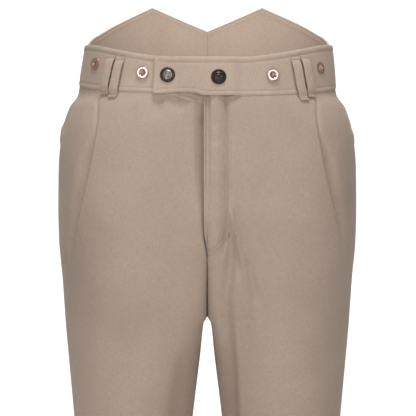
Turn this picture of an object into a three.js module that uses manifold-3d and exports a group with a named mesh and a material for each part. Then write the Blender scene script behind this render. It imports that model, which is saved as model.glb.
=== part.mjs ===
import * as THREE from "three";
import Module from "manifold-3d";
import { mergeVertices } from "three/addons/utils/BufferGeometryUtils.js";

// Men's riding breeches with a fishtail back, filled out as if worn. Millimetres, +Z up, the front faces -Y.
// The origin is the middle of the waist, where the wearer's waist holds the breeches. LEFT is the wearer's left, +X.
const wasm = await Module();
wasm.setup();

const LEFT = 1;
const RIGHT = -1;

// Cloth and seams
const CLOTH = 1.5;
const BAND_CLOTH = 2.4;
const BAND_PROUD = 1.0;
const SEAM_GAP = 0.3;
const HALF_GAP = SEAM_GAP / 2;

// The waist seam slopes down to the front, and the band's top edge follows the side higher than the front.
const SEAM_FRONT_Y = -115;
const SEAM_FRONT_LEVEL = -30.5;
const SEAM_SIDE_LEVEL = -14.3;
const SEAM_SLOPE = Math.tan((8 * Math.PI) / 180);
const TOP_FRONT_LEVEL = 17;
const TOP_SIDE_LEVEL = 37;
const TOP_RISE = { from: 0.84, to: 0.12 };

// The back rise ends in two peaks with a notch between them. Shares run from the side seam to the centre back.
const FISHTAIL = { foot: 0.09, footLevel: 38.5, peak: 0.655, peakLevel: 93.5, notchLevel: 63.5, edgeSag: 3 };

// The crotch point, and where the front and back seams start to curve under the body.
const CROTCH = { z: -298, y: 12 };
const FRONT_RISE = { from: -165, fullness: 0.9 };
const BACK_RISE = { from: -110, fullness: 0.85 };
const HEM = -885;

// The fly: the left front laps over the right one down to FLY.end.
const FLY = { edge: 4, stitch: 25, underlap: 20, end: -218, turn: -200, lift: 0.8, troughWidth: 14 };
const FLY_DIP = { atBand: 2.6, below: 4.8, deepens: 45 };

// The band's tab laps over the right half of the band.
const TAB = { reach: 64.5, rampFrom: 45, rampTo: 28, corner: 7, arch: 3, clearance: 0.3 };
const RIGHT_BAND_UNDERLAP = 25;
const RIGHT_BAND_SAG = 4.5;

// One row for each level of the body and leg: the outseam, the inseam, the front-most and back-most points of a half.
const LEVELS = [
  { z: 110, side: 152, seamY: 0, inner: 0, innerY: 0, front: -107, crease: 0, back: 108, seat: 0, box: 2.2, inBox: 2 },
  { z: 40, side: 154.5, seamY: 0, inner: 0, innerY: 0, front: -110, crease: 0, back: 109, seat: 0, box: 2.2, inBox: 2 },
  { z: 0, side: 159.5, seamY: 0, inner: 0, innerY: 0, front: -113, crease: 0, back: 111, seat: 0, box: 2.2, inBox: 2 },
  { z: -24, side: 162, seamY: 0, inner: 0, innerY: 0, front: -115, crease: 4, back: 115, seat: 8, box: 2.2, inBox: 2 },
  { z: -40, side: 172, seamY: 1, inner: 0, innerY: 0, front: -117, crease: 12, back: 119, seat: 18, box: 2.25, inBox: 2 },
  { z: -70, side: 181.2, seamY: 2, inner: 0, innerY: 0, front: -120, crease: 30, back: 127, seat: 40, box: 2.3, inBox: 2 },
  { z: -115, side: 185.6, seamY: 4, inner: 0, innerY: 0, front: -123, crease: 48, back: 138, seat: 60, box: 2.3, inBox: 2 },
  { z: -165, side: 186.2, seamY: 6, inner: 0, innerY: 0, front: -124, crease: 62, back: 144, seat: 70, box: 2.25, inBox: 2.2 },
  { z: -205, side: 185.2, seamY: 6, inner: 0, innerY: 6, front: -122, crease: 72, back: 141, seat: 76, box: 2.2, inBox: 2.6 },
  { z: -250, side: 181, seamY: 6, inner: 0, innerY: 10, front: -118, crease: 82, back: 130, seat: 82, box: 2.15, inBox: 3 },
  { z: -298, side: 177.6, seamY: 5, inner: 2.2, innerY: 12, front: -112, crease: 88, back: 117, seat: 88, box: 2.1, inBox: 3 },
  { z: -340, side: 174, seamY: 4, inner: 7.4, innerY: 12, front: -106, crease: 90, back: 110, seat: 90, box: 2.1, inBox: 2.6 },
  { z: -424, side: 166.2, seamY: 3, inner: 18, innerY: 10, front: -93, crease: 92, back: 99, seat: 92, box: 2.1, inBox: 2.2 },
  { z: -510, side: 158, seamY: 3, inner: 27, innerY: 8, front: -79, crease: 93, back: 84, seat: 93, box: 2.05, inBox: 2.1 },
  { z: -600, side: 153.5, seamY: 5, inner: 33, innerY: 7, front: -68, crease: 93, back: 74, seat: 93, box: 2, inBox: 2 },
  { z: -700, side: 151, seamY: 12, inner: 34, innerY: 14, front: -56, crease: 93, back: 79, seat: 93, box: 2, inBox: 2 },
  { z: -800, side: 146, seamY: 12, inner: 38, innerY: 13, front: -47, crease: 92, back: 72, seat: 92, box: 2, inBox: 2 },
  { z: -885, side: 142, seamY: 10, inner: 42, innerY: 11, front: -44, crease: 92, back: 65, seat: 92, box: 2, inBox: 2 },
].reverse();

// The pleat is stitched down at its top and opens below. Its line, as shares from the outseam, and its sizes.
const PLEAT_LINE = [
  { z: -230, share: 0.324 },
  { z: -185, share: 0.365 },
  { z: -145, share: 0.404 },
  { z: -108, share: 0.433 },
  { z: -70, share: 0.441 },
  { z: -50, share: 0.426 },
  { z: -30, share: 0.384 },
];
const PLEAT = { stitchedTo: -70, openAt: -130, goneAt: -262, seamStep: 1.6, openStep: 4.2, foldWidth: 1.5 };
const PLEAT_FAN = { from: 5, to: 34 };

// Soft folds: a line from one share and level to another. Depth is inwards where it is negative.
const FOLDS = [
  { half: LEFT, from: [0.9, -196], to: [0.78, -292], width: 7, depth: -3 },
  { half: LEFT, from: [0.82, -188], to: [0.7, -280], width: 9, depth: 2.2 },
  { half: LEFT, from: [0.76, -285], to: [0.8, -450], width: 13, depth: -3.5 },
  { half: RIGHT, from: [0.8, -290], to: [0.8, -450], width: 13, depth: -3.2 },
  { half: LEFT, from: [0.08, -44], to: [0.1, -74], width: 9, depth: -2.2 },
  { half: RIGHT, from: [0.1, -42], to: [0.07, -72], width: 9, depth: -2.6 },
  { half: LEFT, from: [-0.86, -262], to: [-0.3, -246], width: 12, depth: -3.6 },
  { half: RIGHT, from: [-0.84, -266], to: [-0.34, -240], width: 12, depth: -3.4 },
  { half: LEFT, from: [-0.8, -318], to: [-0.36, -288], width: 13, depth: -3 },
  { half: RIGHT, from: [-0.78, -312], to: [-0.4, -286], width: 12, depth: -3.2 },
  { half: LEFT, from: [-0.86, -578], to: [-0.22, -596], width: 9, depth: -3 },
  { half: RIGHT, from: [-0.84, -584], to: [-0.2, -604], width: 9, depth: -3.2 },
  { half: LEFT, from: [-0.8, -622], to: [-0.26, -610], width: 8, depth: -2.4 },
  { half: RIGHT, from: [-0.82, -630], to: [-0.24, -622], width: 8, depth: -2.2 },
];

function smoothstep(t) {
  const c = Math.min(1, Math.max(0, t));
  return c * c * (3 - 2 * c);
}

function mix(a, b, t) {
  return a + (b - a) * t;
}

function signedPower(value, power) {
  return Math.sign(value) * Math.abs(value) ** power;
}

// A smooth curve through one column of a table of levels, without overshoot between them.
function curveThrough(rows, column) {
  const z = rows.map((row) => row.z);
  const value = rows.map((row) => row[column]);
  const slope = z.slice(1).map((_, i) => (value[i + 1] - value[i]) / (z[i + 1] - z[i]));
  const tangent = z.map((_, i) => {
    if (i === 0 || i === z.length - 1) return slope[Math.min(i, slope.length - 1)];
    if (slope[i - 1] * slope[i] <= 0) return 0;
    return (2 * slope[i - 1] * slope[i]) / (slope[i - 1] + slope[i]);
  });
  return (at) => {
    const level = Math.min(Math.max(at, z[0]), z[z.length - 1]);
    const next = Math.max(1, z.findIndex((entry) => entry >= level));
    const i = next - 1;
    const span = z[next] - z[i];
    const t = (level - z[i]) / span;
    const keep = 1 - t;
    const start = value[i] * (1 + 2 * t) * keep * keep + tangent[i] * span * t * keep * keep;
    const end = value[next] * t * t * (3 - 2 * t) - tangent[next] * span * t * t * keep;
    return start + end;
  };
}

const curves = Object.fromEntries(
  Object.keys(LEVELS[0])
    .filter((column) => column !== "z")
    .map((column) => [column, curveThrough(LEVELS, column)]),
);
const pleatShare = curveThrough(PLEAT_LINE, "share");

function levelAt(z) {
  return Object.fromEntries(Object.entries(curves).map(([column, curve]) => [column, curve(z)]));
}

// How far back the centre seam lies at a level: it leaves the body's outline and curves under to the crotch point.
function riseY(z, rise, outlineY) {
  const drop = Math.min(1, Math.max(0, (rise.from - z) / (rise.from - CROTCH.z)));
  const left = Math.sqrt(1 - drop * drop) ** rise.fullness;
  return CROTCH.y + (outlineY - CROTCH.y) * left;
}

// One half of a level from the outseam to the centre line or inseam. Shares up to KNEE are even along the front or
// back of the body, and those past it spread over what is left, where the cloth turns in between the legs.
const OUTLINE_STEPS = 36;
const KNEE = 0.7;
const outlines = new Map();

function halfOutline(z, isFront) {
  const key = `${isFront}${z.toFixed(3)}`;
  if (outlines.has(key)) return outlines.get(key);
  const level = levelAt(z);
  const ridge = isFront ? { x: level.crease, y: level.front } : { x: level.seat, y: level.back };
  const inner = { x: level.inner, y: level.innerY };
  if (z > CROTCH.z) {
    inner.x = 0;
    inner.y = riseY(z, isFront ? FRONT_RISE : BACK_RISE, ridge.y);
  }
  const points = [];
  for (let i = 0; i <= OUTLINE_STEPS; i++) {
    const turn = (i / OUTLINE_STEPS) * (Math.PI / 2);
    const across = signedPower(Math.cos(turn), 2 / level.box);
    const along = signedPower(Math.sin(turn), 2 / level.box);
    points.push({ x: mix(ridge.x, level.side, across), y: mix(level.seamY, ridge.y, along) });
  }
  for (let i = 1; i <= OUTLINE_STEPS; i++) {
    const turn = (i / OUTLINE_STEPS) * (Math.PI / 2);
    const across = signedPower(Math.sin(turn), 2 / level.inBox);
    const along = signedPower(Math.cos(turn), 2 / level.inBox);
    points.push({ x: mix(ridge.x, inner.x, across), y: mix(inner.y, ridge.y, along) });
  }
  const lengths = [0];
  for (let i = 1; i < points.length; i++) {
    lengths.push(lengths[i - 1] + Math.hypot(points[i].x - points[i - 1].x, points[i].y - points[i - 1].y));
  }
  const even = lengths[OUTLINE_STEPS] + ridge.x - inner.x;
  const total = lengths[lengths.length - 1];
  const outline = { points, lengths, even, turned: (total - KNEE * even) / (1 - KNEE) };
  outlines.set(key, outline);
  return outline;
}

// The smooth form under the folds. share runs from -1 at the centre back or inseam, through 0 at the outseam,
// to 1 at the centre front or inseam. Past that it goes on over the other half, or round the leg below the crotch.
function form(half, share, z) {
  if (Math.abs(share) > 1 && z >= CROTCH.z) {
    const other = form(half, Math.sign(share) * (2 - Math.abs(share)), z);
    return other.set(-other.x, other.y, z);
  }
  if (Math.abs(share) > 1) {
    const past = ((Math.abs(share) - 1) * centreLength(z, share > 0)) / centreLength(z, share < 0);
    return form(half, -Math.sign(share) * (1 - past), z);
  }
  const outline = halfOutline(z, share >= 0);
  const beforeKnee = Math.min(Math.abs(share), KNEE);
  const length = beforeKnee * outline.even + (Math.abs(share) - beforeKnee) * outline.turned;
  let i = 1;
  while (i < outline.lengths.length - 1 && outline.lengths[i] < length) i++;
  const span = outline.lengths[i] - outline.lengths[i - 1];
  const t = span > 0 ? (length - outline.lengths[i - 1]) / span : 0;
  const a = outline.points[i - 1];
  const b = outline.points[i];
  return new THREE.Vector3(half * mix(a.x, b.x, t), mix(a.y, b.y, t), z);
}

// Millimetres for a whole share, before the knee and past it.
function halfLength(z, isFront) {
  return halfOutline(z, isFront).even;
}

function centreLength(z, isFront) {
  return halfOutline(z, isFront).turned;
}

// The share that lies a number of millimetres before the centre line or inseam.
function fromCentre(distance, z, isFront = true) {
  return 1 - distance / centreLength(z, isFront);
}

// The direction out of the cloth, from the slopes of a surface along both of its ways.
function outward(surface, half, share, z) {
  const reach = 1.5;
  const step = reach / halfLength(z, share >= 0);
  const along = surface(half, share + step, z).sub(surface(half, share - step, z));
  const up = surface(half, share, z + reach).sub(surface(half, share, z - reach));
  return up.cross(along).multiplyScalar(half).normalize();
}

function pleatDepth(distance, z) {
  const open = smoothstep((PLEAT.stitchedTo - z) / (PLEAT.stitchedTo - PLEAT.openAt));
  const gone = 1 - smoothstep((PLEAT.openAt - z) / (PLEAT.openAt - PLEAT.goneAt));
  const step = mix(PLEAT.seamStep, PLEAT.openStep, open) * gone;
  const fan = mix(PLEAT_FAN.from, PLEAT_FAN.to, open);
  const behind = smoothstep((distance + PLEAT.foldWidth / 2) / PLEAT.foldWidth);
  return -step * behind * (1 - smoothstep(distance / fan));
}

function foldDepth(fold, half, share, z) {
  if (fold.half !== half || share * fold.from[0] <= 0) return 0;
  const length = halfLength(z, share > 0);
  const across = (fold.to[0] - fold.from[0]) * length;
  const down = fold.to[1] - fold.from[1];
  const offAcross = (share - fold.from[0]) * length;
  const offDown = z - fold.from[1];
  const size = Math.hypot(across, down);
  const along = (offAcross * across + offDown * down) / (size * size);
  const off = (offAcross * down - offDown * across) / size;
  const ends = smoothstep(along / 0.3) * smoothstep((1 - along) / 0.3);
  return fold.depth * ends * Math.exp(-((off / fold.width) ** 2));
}

// How far the right half dips at a distance before the centre line, so that the left half can lap over it.
function underDip(distance, dip) {
  return -dip * smoothstep((FLY.troughWidth + 8 - distance) / FLY.troughWidth);
}

// The right front dips into a trough along the fly's edge, and the left front lifts over it.
function flyLift(half, share, z) {
  const fade = smoothstep((z - FLY.end + 16) / 30);
  const distance = (1 - share) * centreLength(z, true);
  if (half === RIGHT) {
    const below = smoothstep((SEAM_FRONT_LEVEL - RIGHT_BAND_SAG - z) / FLY_DIP.deepens);
    return fade * underDip(distance, mix(FLY_DIP.atBand, FLY_DIP.below, below));
  }
  return FLY.lift * fade * smoothstep((FLY.stitch + 4 - distance) / 8);
}

// How far the folds, pleat and fly move the cloth out of the smooth form.
function drape(half, share, z) {
  let depth = FOLDS.reduce((sum, fold) => sum + foldDepth(fold, half, share, z), 0);
  if (share > 0) {
    const distance = (pleatShare(z) - share) * halfLength(z, true);
    depth += pleatDepth(distance, z);
    if (z > FLY.end - 20) depth += flyLift(half, share, z);
  }
  return depth;
}

// The outer face of the panels.
function cloth(half, share, z) {
  return form(half, share, z).addScaledVector(outward(form, half, share, z), drape(half, share, z));
}

// A closed wall from a grid of outer points and the same grid of inner points.
function wallGeometry(outer, inner) {
  const rows = outer.length;
  const columns = outer[0].length;
  const positions = [...outer.flat(), ...inner.flat()].flatMap((p) => [p.x, p.y, p.z]);
  const index = [];
  const at = (side, row, column) => side * rows * columns + row * columns + column;
  const quad = (a, b, c, d, turned = false) => {
    index.push(...(turned ? [a, b, d, b, c, d] : [a, b, c, a, c, d]));
  };
  for (let r = 0; r < rows - 1; r++) {
    for (let c = 0; c < columns - 1; c++) {
      const falling = outer[r][c].distanceTo(outer[r + 1][c + 1]);
      const rising = outer[r + 1][c].distanceTo(outer[r][c + 1]);
      const turned = rising < falling;
      quad(at(0, r, c), at(0, r + 1, c), at(0, r + 1, c + 1), at(0, r, c + 1), turned);
      quad(at(1, r, c), at(1, r, c + 1), at(1, r + 1, c + 1), at(1, r + 1, c), turned);
    }
  }
  for (let r = 0; r < rows - 1; r++) {
    quad(at(0, r, 0), at(1, r, 0), at(1, r + 1, 0), at(0, r + 1, 0));
    quad(at(0, r, columns - 1), at(0, r + 1, columns - 1), at(1, r + 1, columns - 1), at(1, r, columns - 1));
  }
  for (let c = 0; c < columns - 1; c++) {
    quad(at(0, 0, c), at(0, 0, c + 1), at(1, 0, c + 1), at(1, 0, c));
    quad(at(0, rows - 1, c), at(1, rows - 1, c), at(1, rows - 1, c + 1), at(0, rows - 1, c + 1));
  }
  const geometry = new THREE.BufferGeometry();
  geometry.setAttribute("position", new THREE.Float32BufferAttribute(positions, 3));
  geometry.setIndex(index);
  if (enclosedVolume(positions, index) < 0) {
    for (let i = 0; i < index.length; i += 3) {
      [index[i + 1], index[i + 2]] = [index[i + 2], index[i + 1]];
    }
    geometry.setIndex(index);
  }
  geometry.computeVertexNormals();
  return geometry;
}

function enclosedVolume(positions, index) {
  const point = (i) => new THREE.Vector3(positions[3 * i], positions[3 * i + 1], positions[3 * i + 2]);
  let volume = 0;
  for (let i = 0; i < index.length; i += 3) {
    volume += point(index[i]).dot(point(index[i + 1]).cross(point(index[i + 2]))) / 6;
  }
  return volume;
}

// Materials
function clothMaterial(color) {
  return new THREE.MeshStandardMaterial({ color, roughness: 0.9, metalness: 0, flatShading: true });
}

const TAN = 0xb19d8f;
const BAND_TAN = 0xb5a294;
const BUTTON_PEARL = 0xb9a79c;
const STUD_METAL = 0x4a4340;
const breeches = new THREE.Group();

function add(name, geometry, material) {
  const mesh = new THREE.Mesh(geometry, material);
  mesh.name = name;
  breeches.add(mesh);
  return mesh;
}

// Band edges
function bandBottom(half, share) {
  const slope = SEAM_FRONT_LEVEL + SEAM_SLOPE * (form(half, share, SEAM_SIDE_LEVEL).y - SEAM_FRONT_Y);
  const hidden = half === RIGHT ? smoothstep((share - 0.82) / 0.16) : 0;
  return slope - RIGHT_BAND_SAG * hidden;
}

function bandTop(share) {
  const rise = smoothstep((TOP_RISE.from - share) / (TOP_RISE.from - TOP_RISE.to));
  return mix(TOP_FRONT_LEVEL, TOP_SIDE_LEVEL, rise);
}

function fishtailTop(share) {
  const back = Math.abs(share);
  if (back < FISHTAIL.foot) return mix(TOP_SIDE_LEVEL, FISHTAIL.footLevel, back / FISHTAIL.foot);
  if (back < FISHTAIL.peak) {
    const t = (back - FISHTAIL.foot) / (FISHTAIL.peak - FISHTAIL.foot);
    return mix(FISHTAIL.footLevel, FISHTAIL.peakLevel, t) - FISHTAIL.edgeSag * Math.sin(Math.PI * t);
  }
  const t = (back - FISHTAIL.peak) / (1 - FISHTAIL.peak);
  return mix(FISHTAIL.peakLevel, FISHTAIL.notchLevel, t);
}

// Panels: rows from the waist seam to the crotch as shares of the way, then down the leg by level.
const BODY_ROWS = [0, 0.035, 0.09, 0.16, 0.24, 0.32, 0.4, 0.48, 0.56, 0.64, 0.72, 0.8, 0.87, 0.94, 1];
const LEG_LEVELS = [-304, -314, -330, -358, -395, -440, -485, -530, -565, -590, -612, -640, -690, -750, -815, HEM];

// The centre line's levels, evenly spaced along the curve from the waist seam to the crotch point.
function centreLevels(isFront, top) {
  const steps = 400;
  const path = [];
  for (let i = 0; i <= steps; i++) {
    const z = CROTCH.z + (top - CROTCH.z) * Math.cos((i / steps) * (Math.PI / 2));
    path.push({ z, y: form(LEFT, isFront ? 1 : -1, Math.max(z, CROTCH.z + 1e-6)).y });
  }
  const lengths = [0];
  for (let i = 1; i < path.length; i++) {
    lengths.push(lengths[i - 1] + Math.hypot(path[i].y - path[i - 1].y, path[i].z - path[i - 1].z));
  }
  return BODY_ROWS.map((down) => {
    const wanted = down * lengths[steps];
    const i = Math.max(1, lengths.findIndex((length) => length >= wanted - 1e-9));
    const t = (wanted - lengths[i - 1]) / (lengths[i] - lengths[i - 1]);
    return mix(path[i - 1].z, path[i].z, t);
  });
}

// The front's columns keep their places beside the pleat, which is the column of PLEAT_COLUMN.
const PLEAT_COLUMN = 0.38;

function besidePleat(share, z) {
  const pleat = pleatShare(z);
  if (share < PLEAT_COLUMN) return (share * pleat) / PLEAT_COLUMN;
  return 1 - ((1 - share) * (1 - pleat)) / (1 - PLEAT_COLUMN);
}

// Where a column of a panel lies at a level: a share moved by some millimetres, or, along the fly, a number of
// millimetres before the centre line that gives way to the share below the fly.
function columnShare(column, z, isFront) {
  const even = isFront ? besidePleat(column.share, z) : column.share;
  const share = even + (column.move ?? 0) / halfLength(z, isFront);
  if (column.centre === undefined) return share;
  return mix(fromCentre(column.centre, z, isFront), share, smoothstep((FLY.turn - z) / FLY_FADE));
}

function seamRowLevel(half, share) {
  return bandBottom(half, share) - HALF_GAP;
}

function panelGrid(half, isFront, columns, edgeAt) {
  const centre = centreLevels(isFront, isFront ? SEAM_FRONT_LEVEL : SEAM_FRONT_LEVEL + 32);
  const outer = [];
  const inner = [];
  const place = (column, z, row) => {
    const whole = edgeAt(columnShare(column, z, isFront), column, z);
    const share = z < CROTCH.z + HALF_GAP ? Math.min(whole, fromCentre(HALF_GAP, z, isFront)) : whole;
    const signed = isFront ? share : -share;
    const point = cloth(half, signed, z);
    const inside = point.clone().addScaledVector(outward(cloth, half, signed, z), -CLOTH);
    if (share <= 1) {
      point.x = half * Math.max(half * point.x, HALF_GAP);
      inside.x = half * Math.max(half * inside.x, HALF_GAP);
    }
    outer[row].push(point);
    inner[row].push(inside);
  };
  for (const [row, down] of BODY_ROWS.entries()) {
    outer.push([]);
    inner.push([]);
    const side = mix(SEAM_SIDE_LEVEL, CROTCH.z, down);
    for (const column of columns) {
      const share = columnShare(column, mix(side, centre[row], 0.5), isFront);
      const level = mix(side, centre[row], smoothstep(share));
      const top = mix(SEAM_SIDE_LEVEL, centre[0], smoothstep(share));
      const seam = seamRowLevel(half, isFront ? share : -share);
      place(column, level + (seam - top) * (1 - down) ** 4, row);
    }
  }
  for (const level of LEG_LEVELS) {
    outer.push([]);
    inner.push([]);
    for (const column of columns) place(column, level, outer.length - 1);
  }
  return wallGeometry(outer, inner);
}

const FLY_FADE = 70;
const FRONT_COLUMNS = [
  { share: 0, move: HALF_GAP },
  { share: 0.07 },
  { share: 0.14 },
  { share: 0.21 },
  { share: 0.29 },
  { share: PLEAT_COLUMN, move: -PLEAT.foldWidth / 2 - 6 },
  { share: PLEAT_COLUMN, move: -PLEAT.foldWidth / 2 },
  { share: PLEAT_COLUMN, move: PLEAT.foldWidth / 2 },
  { share: 0.46 },
  { share: 0.54 },
  { share: 0.62 },
  { share: 0.7 },
  { share: 0.77, centre: 46 },
  { share: 0.83, centre: 33 },
  { share: 0.88, centre: 26 },
  { share: 0.92, centre: 18 },
  { share: 0.96, centre: 9 },
  { share: 1, edge: true },
];

const BACK_COLUMNS = [
  { share: 0, move: HALF_GAP },
  { share: 0.1 },
  { share: 0.2 },
  { share: 0.3 },
  { share: 0.4 },
  { share: 0.5 },
  { share: 0.6 },
  { share: 0.7 },
  { share: 0.79 },
  { share: 0.87 },
  { share: 0.94 },
  { share: 1 },
];

// The fly's free edges: the left front ends past the centre, the right front runs on under it.
function flyEdge(past) {
  return (share, column, z) => {
    if (!column.edge) return share;
    const fade = smoothstep((z - FLY.end) / (FLY.turn - FLY.end));
    return 1 + (past * fade) / centreLength(z, true);
  };
}

function frontPanel(half) {
  return panelGrid(half, true, FRONT_COLUMNS, flyEdge(half === LEFT ? FLY.edge : FLY.underlap));
}

function backPanel(half) {
  return panelGrid(half, false, BACK_COLUMNS, (share) => share);
}

add("front_right", frontPanel(RIGHT), clothMaterial(TAN));
add("front_left", frontPanel(LEFT), clothMaterial(TAN));
add("back_right", backPanel(RIGHT), clothMaterial(TAN));
add("back_left", backPanel(LEFT), clothMaterial(TAN));

// Band pieces follow the same form, doubled and interfaced, so they stand a little proud of the panels.
function bandPoint(half, share, z, offset) {
  return form(half, share, z).addScaledVector(outward(form, half, share, z), offset);
}

function bandGrid(half, shares, bottomAt, topAt, liftAt, rows) {
  const outer = [];
  const inner = [];
  for (let row = 0; row <= rows; row++) {
    const line = shares.map((share) => {
      const bottom = bottomAt(share);
      const top = topAt(share);
      return { share, z: mix(bottom, top, row / rows), lift: liftAt(share) };
    });
    outer.push(line.map((p) => bandPoint(half, p.share, p.z, BAND_PROUD + p.lift)));
    inner.push(line.map((p) => bandPoint(half, p.share, p.z, BAND_PROUD + p.lift - BAND_CLOTH)));
  }
  return wallGeometry(outer, inner);
}

const WAIST_LENGTH = halfLength(0, true);
const BAND_SHARES = [0.07, 0.14, 0.21, 0.28, 0.35, 0.42, 0.49, 0.56, 0.63, 0.7];
const SIDE_EDGE = HALF_GAP / WAIST_LENGTH;

function centreShare(distance) {
  return 1 - distance / WAIST_LENGTH;
}

function rightBand() {
  const shares = [SIDE_EDGE, ...BAND_SHARES, ...[50, 38, 26, 13, 0, -12, -RIGHT_BAND_UNDERLAP].map(centreShare)];
  const lift = (share) => underDip((1 - share) * WAIST_LENGTH, FLY_DIP.atBand);
  return bandGrid(RIGHT, shares, (share) => bandBottom(RIGHT, share) + HALF_GAP, bandTop, lift, 3);
}

// How much the tab's rounded end narrows the band at a distance from its tip.
function tabCorner(share) {
  const fromTip = Math.max(0, TAB.reach - (share - 1) * WAIST_LENGTH);
  if (fromTip >= TAB.corner) return 0;
  return TAB.corner - Math.sqrt(TAB.corner ** 2 - (TAB.corner - fromTip) ** 2);
}

function tabBottom(share) {
  const past = (share - 1) * WAIST_LENGTH;
  const arch = past > 0 ? TAB.arch * Math.sin((Math.PI * past) / TAB.reach) ** 2 : 0;
  return bandBottom(LEFT, Math.min(share, 1)) + HALF_GAP + arch + tabCorner(share);
}

function leftBand() {
  const nearCentre = [52, TAB.rampFrom, 39, 33, TAB.rampTo, 14, 0, -14, -28, -42, -54];
  const tip = [1, 0.55, 0.2, 0.04].map((part) => part * TAB.corner - TAB.reach);
  const shares = [SIDE_EDGE, ...BAND_SHARES, ...nearCentre.map(centreShare), ...tip.map(centreShare)];
  const lap = BAND_CLOTH + TAB.clearance;
  const lift = (share) => {
    const distance = (1 - share) * WAIST_LENGTH;
    return lap * smoothstep((TAB.rampFrom - distance) / (TAB.rampFrom - TAB.rampTo));
  };
  const top = (share) => bandTop(share > 1 ? 2 - share : share) - tabCorner(share);
  return bandGrid(LEFT, shares, tabBottom, top, lift, 3);
}

function backRise(half) {
  const length = halfLength(20, false);
  const shares = [HALF_GAP / length, 0.045, FISHTAIL.foot, 0.17, 0.25, 0.33, 0.41, 0.49, 0.57, FISHTAIL.peak];
  const inner = [0.73, 0.81, 0.89, 0.95, 1 - HALF_GAP / length];
  const back = [...shares, ...inner].map((share) => -share);
  const bottom = (share) => bandBottom(half, share) + HALF_GAP;
  return bandGrid(half, back, bottom, fishtailTop, () => 0, 4);
}

add("waistband_right", rightBand(), clothMaterial(BAND_TAN));
add("waistband_left", leftBand(), clothMaterial(BAND_TAN));
add("back_rise_right", backRise(RIGHT), clothMaterial(BAND_TAN));
add("back_rise_left", backRise(LEFT), clothMaterial(BAND_TAN));

// Belt loops: strips tacked at both ends, standing off the band between them. They lean with the band.
const LOOP = { cloth: 1.6, slack: 2.2, seat: 0.5, below: 9, topInset: 8.5, backLength: 55 };
const LOOP_ROWS = [
  { down: 0, off: 0 },
  { down: 0.08, off: 0 },
  { down: 0.16, off: 0.75 },
  { down: 0.32, off: 1 },
  { down: 0.5, off: 1 },
  { down: 0.68, off: 1 },
  { down: 0.82, off: 0.9 },
  { down: 0.92, off: 0.15 },
  { down: 1, off: 0 },
];
const LOOP_PLACES = [
  { name: "inner", top: 0.499, bottom: 0.481, width: 12.5 },
  { name: "outer", top: 0.436, bottom: 0.412, width: 11 },
];

function beltLoop(half, isFront, place) {
  const sign = isFront ? 1 : -1;
  const bottom = bandBottom(half, sign * place.bottom) - LOOP.below;
  const top = isFront ? bandTop(place.top) - LOOP.topInset : bottom + LOOP.backLength;
  const halfWidth = place.width / 2 / WAIST_LENGTH;
  const outer = [];
  const inner = [];
  for (const row of LOOP_ROWS) {
    const z = mix(top, bottom, row.down);
    const middle = mix(place.top, place.bottom, row.down);
    const onBand = smoothstep((z - bottom - LOOP.below * 0.5) / (LOOP.below * 0.4));
    const base = BAND_PROUD * onBand + LOOP.seat + LOOP.slack * row.off;
    const edges = [middle - halfWidth, middle + halfWidth].map((share) => sign * share);
    outer.push(edges.map((share) => bandPoint(half, share, z, base + LOOP.cloth)));
    inner.push(edges.map((share) => bandPoint(half, share, z, base)));
  }
  return wallGeometry(outer, inner);
}

for (const half of [RIGHT, LEFT]) {
  for (const isFront of [true, false]) {
    for (const place of LOOP_PLACES) {
      const side = half === RIGHT ? "right" : "left";
      const face = isFront ? "front" : "back";
      add(`loop_${face}_${side}_${place.name}`, beltLoop(half, isFront, place), clothMaterial(BAND_TAN));
    }
  }
}

// Buttons and studs are turned about their own axis, then set on the band facing out of it.
function merged(geometry) {
  const bare = geometry.clone();
  bare.deleteAttribute("normal");
  bare.deleteAttribute("uv");
  return mergeVertices(bare, 1e-4);
}

function solidOf(geometry) {
  const closed = merged(geometry);
  const mesh = new wasm.Mesh({
    numProp: 3,
    vertProperties: closed.attributes.position.array,
    triVerts: new Uint32Array(closed.index.array),
  });
  return new wasm.Manifold(mesh);
}

function geometryOf(solid) {
  const mesh = solid.getMesh();
  const geometry = new THREE.BufferGeometry();
  geometry.setAttribute("position", new THREE.Float32BufferAttribute(mesh.vertProperties, 3));
  geometry.setIndex(Array.from(mesh.triVerts));
  geometry.computeVertexNormals();
  return geometry;
}

// Turns a profile of [radius, height] about +Z.
function turned(profile, sides) {
  const points = profile.map(([radius, height]) => new THREE.Vector2(radius, height));
  return new THREE.LatheGeometry(points, sides).rotateX(Math.PI / 2);
}

const BUTTON = { radius: 7.75, thick: 3.2, rimInner: 5.2, dish: 1.1, edge: 0.7, hole: 0.95, holeReach: 1.75 };
const BUTTON_SIDES = 18;
const HOLE_SIDES = 6;

function braceButton() {
  const profile = [
    [0, 0],
    [BUTTON.radius - BUTTON.edge, 0],
    [BUTTON.radius, BUTTON.edge],
    [BUTTON.radius, BUTTON.thick - BUTTON.edge],
    [BUTTON.radius - BUTTON.edge, BUTTON.thick],
    [BUTTON.rimInner, BUTTON.thick],
    [BUTTON.rimInner - BUTTON.edge, BUTTON.thick - BUTTON.dish],
    [0, BUTTON.thick - BUTTON.dish],
  ];
  let disc = solidOf(turned(profile, BUTTON_SIDES));
  for (const [dx, dy] of [[1, 1], [1, -1], [-1, 1], [-1, -1]]) {
    const hole = new THREE.CylinderGeometry(BUTTON.hole, BUTTON.hole, 3 * BUTTON.thick, HOLE_SIDES);
    hole.rotateX(Math.PI / 2).translate((dx * BUTTON.holeReach) / Math.SQRT2, (dy * BUTTON.holeReach) / Math.SQRT2, 0);
    disc = disc.subtract(solidOf(hole));
  }
  return geometryOf(disc);
}

const STUD = { radius: 9.2, height: 4, rimInner: 7, rimHeight: 2.4, groove: 0.7, edge: 0.8 };
const STUD_SIDES = 20;

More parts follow.
